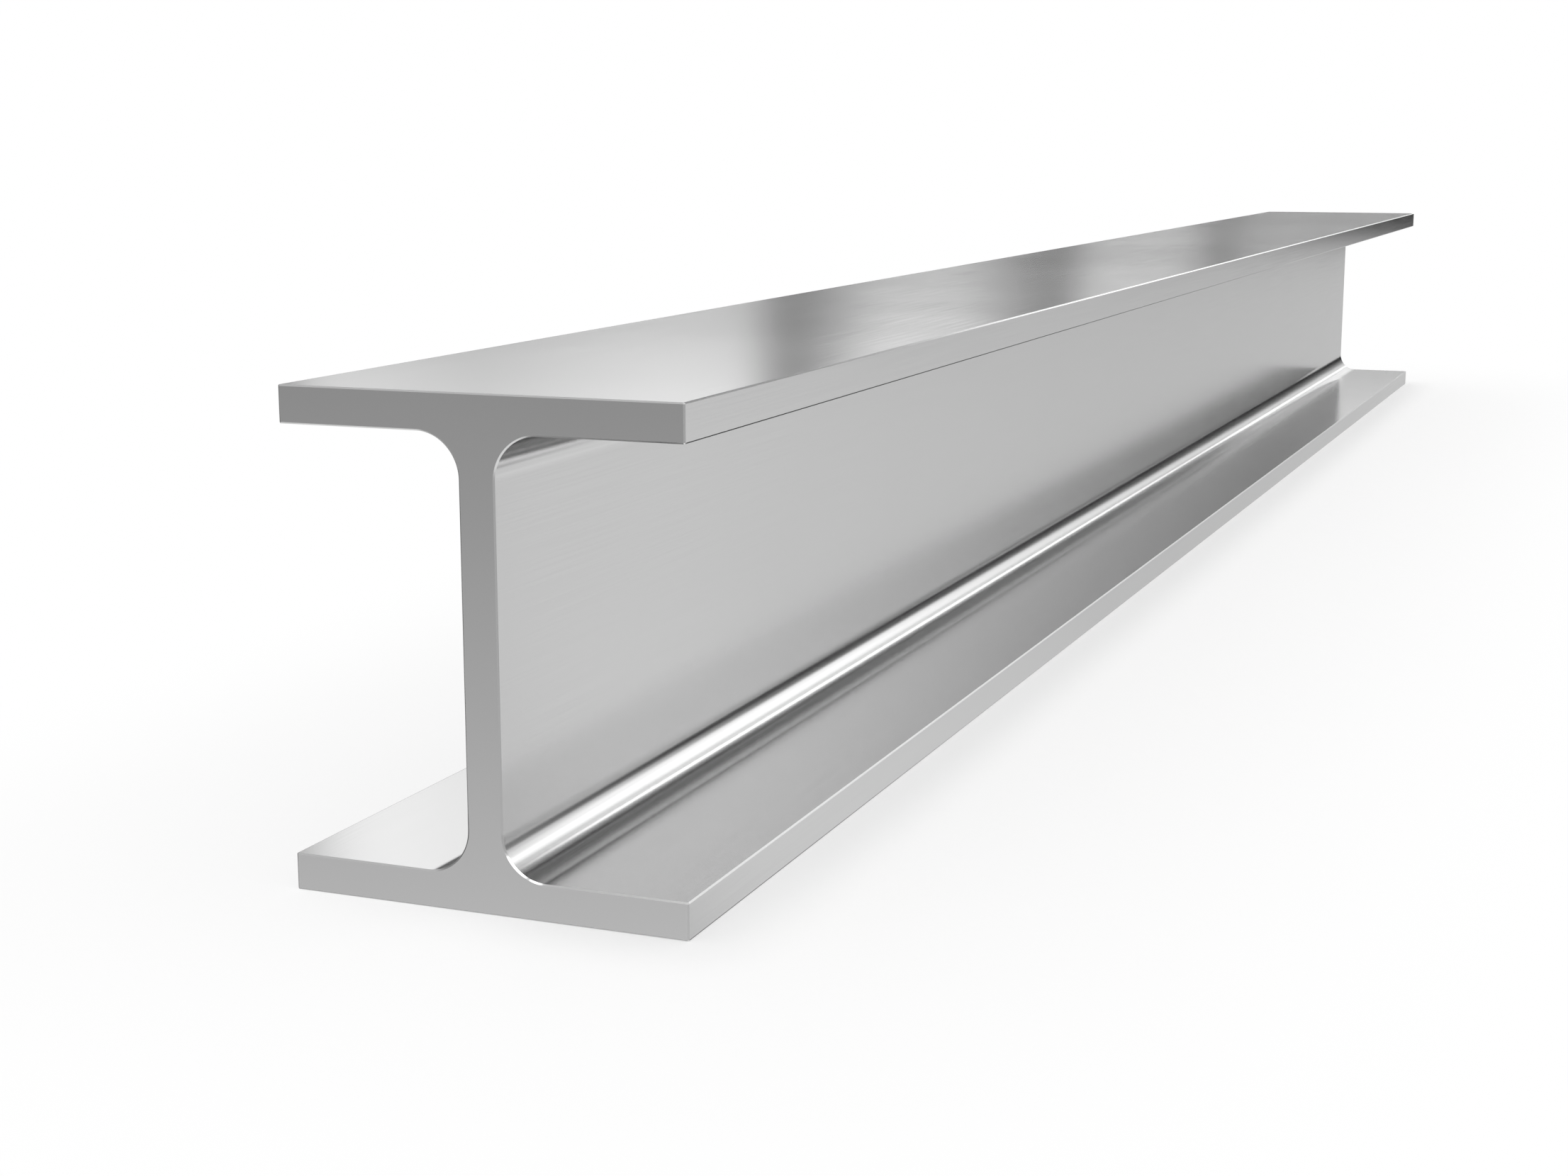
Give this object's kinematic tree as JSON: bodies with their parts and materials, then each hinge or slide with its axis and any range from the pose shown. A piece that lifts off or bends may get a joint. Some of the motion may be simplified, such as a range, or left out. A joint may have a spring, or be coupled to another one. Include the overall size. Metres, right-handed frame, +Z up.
{
  "type": "i-beam",
  "caption": "Straight length of parallel-flange I-section with equally thick web and flanges, used as a load-carrying beam or column.",
  "frame": {"origin": "bottom centre: the middle of the underside of the bottom flange, on the surface that the beam stands on", "axes": "+Y along the beam's length, +X across the flanges, +Z up along the web"},
  "size_m": [0.135, 1.686, 0.16],
  "materials": {
    "satin_stainless": "fine satin, as rolled and ground"
  },
  "bodies": {
    "root": {"i_beam": "satin_stainless"}
  },
  "joints": []
}
